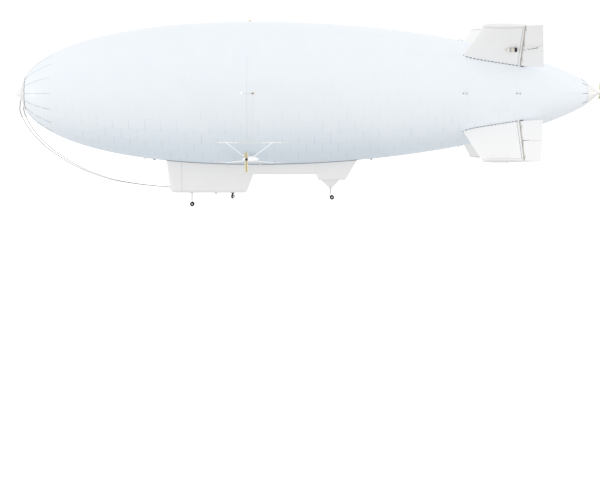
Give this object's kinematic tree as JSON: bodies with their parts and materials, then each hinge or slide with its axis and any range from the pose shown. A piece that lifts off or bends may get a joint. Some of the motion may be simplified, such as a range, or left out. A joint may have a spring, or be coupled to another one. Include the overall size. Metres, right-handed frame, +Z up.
{
  "type": "non-rigid airship, 1:2 scale model",
  "caption": "White non-rigid airship on its gear, with a belly gondola, an X tail, side pods on struts, a stern propeller and nose lines.",
  "frame": {"origin": "on the floor under the middle of the ship's length", "axes": "+X aft along the ship, +Y starboard, +Z up; the ship's own axis is pitched 2.73 degrees nose-up about Y as it stands on its gear"},
  "size_m": [28.0942, 6.8164, 8.6803],
  "materials": {
    "envelope_fabric": "satin",
    "white_composite": "satin",
    "fin_cover": "satin",
    "white_tube": "satin",
    "dark_metal": "satin",
    "tyre_rubber": "matte",
    "tan_blade": "satin",
    "line_rope": "matte",
    "stay_wire": "satin"
  },
  "bodies": {
    "ship": {"envelope": "envelope_fabric", "nose_dish_and_battens": "white_composite", "nose_cone": "white_composite", "tail_cone_and_battens": "white_composite", "fin_upper_starboard": "fin_cover", "fin_lower_starboard": "fin_cover", "fin_lower_port": "fin_cover", "fin_upper_port": "fin_cover", "fin_actuator_upper_starboard": "dark_metal", "fin_actuator_lower_starboard": "dark_metal", "fin_actuator_lower_port": "dark_metal", "fin_actuator_upper_port": "dark_metal", "fin_stays_upper_starboard": "stay_wire", "fin_stays_lower_starboard": "stay_wire", "fin_stays_lower_port": "stay_wire", "fin_stays_upper_port": "stay_wire", "gondola_nose_cap": "white_composite", "gondola_body": "white_composite", "keel_fairing": "white_composite", "aft_fairing": "white_composite", "belly_blade": "white_composite", "front_gear_leg": "white_tube", "rear_gear_leg": "white_tube", "port_drive_box": "white_composite", "port_upper_struts": "white_tube", "port_lower_struts": "white_tube", "starboard_drive_box": "white_composite", "starboard_upper_struts": "white_tube", "starboard_lower_struts": "white_tube", "nose_line_port": "line_rope", "nose_line_starboard": "line_rope"},
    "ruddervator_upper_starboard": {"ruddervator_upper_starboard": "fin_cover"},
    "ruddervator_lower_starboard": {"ruddervator_lower_starboard": "fin_cover"},
    "ruddervator_lower_port": {"ruddervator_lower_port": "fin_cover"},
    "ruddervator_upper_port": {"ruddervator_upper_port": "fin_cover"},
    "port_pod": {"port_pod": "white_composite"},
    "starboard_pod": {"starboard_pod": "white_composite"},
    "port_propeller": {"port_propeller": "tan_blade"},
    "starboard_propeller": {"starboard_propeller": "tan_blade"},
    "stern_propeller": {"stern_propeller": "tan_blade"},
    "front_gear_fork": {"front_gear_fork": "white_tube"},
    "rear_gear_fork": {"rear_gear_fork": "white_tube"},
    "front_gear_wheels": {"front_gear_wheels": "tyre_rubber"},
    "rear_gear_wheels": {"rear_gear_wheels": "tyre_rubber"},
    "sensor_mount": {"sensor_mount": "dark_metal"},
    "sensor_ball": {"sensor_ball": "dark_metal"}
  },
  "joints": [
    {"name": "upper_starboard_ruddervator_hinge", "type": "hinge", "parent": "ship", "child": "ruddervator_upper_starboard", "pos_m": [9.9825, 2.22739, 6.86699], "axis": [0.0337, 0.7071, 0.7063], "range_deg": [-25, 25]},
    {"name": "lower_starboard_ruddervator_hinge", "type": "hinge", "parent": "ship", "child": "ruddervator_lower_starboard", "pos_m": [9.76998, 2.22739, 2.41729], "axis": [-0.0337, 0.7071, -0.7063], "range_deg": [-25, 25]},
    {"name": "lower_port_ruddervator_hinge", "type": "hinge", "parent": "ship", "child": "ruddervator_lower_port", "pos_m": [9.76998, -2.22739, 2.41729], "axis": [-0.0337, -0.7071, -0.7063], "range_deg": [-25, 25]},
    {"name": "upper_port_ruddervator_hinge", "type": "hinge", "parent": "ship", "child": "ruddervator_upper_port", "pos_m": [9.9825, -2.22739, 6.86699], "axis": [0.0337, -0.7071, 0.7063], "range_deg": [-25, 25]},
    {"name": "port_pod_tilt", "type": "hinge", "parent": "ship", "child": "port_pod", "pos_m": [-2.97882, -2.855, 2.22266], "axis": [0, 1, 0], "range_deg": [-90, 90]},
    {"name": "starboard_pod_tilt", "type": "hinge", "parent": "ship", "child": "starboard_pod", "pos_m": [-2.97882, 2.855, 2.22266], "axis": [0, 1, 0], "range_deg": [-90, 90]},
    {"name": "port_propeller_spin", "type": "hinge", "parent": "port_pod", "child": "port_propeller", "pos_m": [-3.11866, -2.855, 2.22934], "axis": [0.9989, 0, -0.0477], "continuous": true},
    {"name": "starboard_propeller_spin", "type": "hinge", "parent": "starboard_pod", "child": "starboard_propeller", "pos_m": [-3.11866, 2.855, 2.22934], "axis": [0.9989, 0, -0.0477], "continuous": true},
    {"name": "stern_propeller_spin", "type": "hinge", "parent": "ship", "child": "stern_propeller", "pos_m": [13.8617, 0, 4.45179], "axis": [0.9989, 0, -0.0477], "continuous": true},
    {"name": "front_gear_swivel", "type": "hinge", "parent": "ship", "child": "front_gear_fork", "pos_m": [-5.90505, 0, 0.38016], "axis": [0.0477, 0, 0.9989], "continuous": true},
    {"name": "rear_gear_swivel", "type": "hinge", "parent": "ship", "child": "rear_gear_fork", "pos_m": [0.73861, 0, 0.40324], "axis": [0.0477, 0, 0.9989], "continuous": true},
    {"name": "front_wheels_roll", "type": "hinge", "parent": "front_gear_fork", "child": "front_gear_wheels", "pos_m": [-5.90818, 0, 0.105], "axis": [0, 1, 0], "continuous": true},
    {"name": "rear_wheels_roll", "type": "hinge", "parent": "rear_gear_fork", "child": "rear_gear_wheels", "pos_m": [0.79945, 0, 0.105], "axis": [0, 1, 0], "continuous": true},
    {"name": "sensor_pan", "type": "hinge", "parent": "ship", "child": "sensor_mount", "pos_m": [-3.93916, 0, 0.56158], "axis": [0.0477, 0, 0.9989], "continuous": true},
    {"name": "sensor_tilt", "type": "hinge", "parent": "sensor_mount", "child": "sensor_ball", "pos_m": [-3.94799, 0, 0.37679], "axis": [0, 1, 0], "range_deg": [-90, 90]}
  ]
}
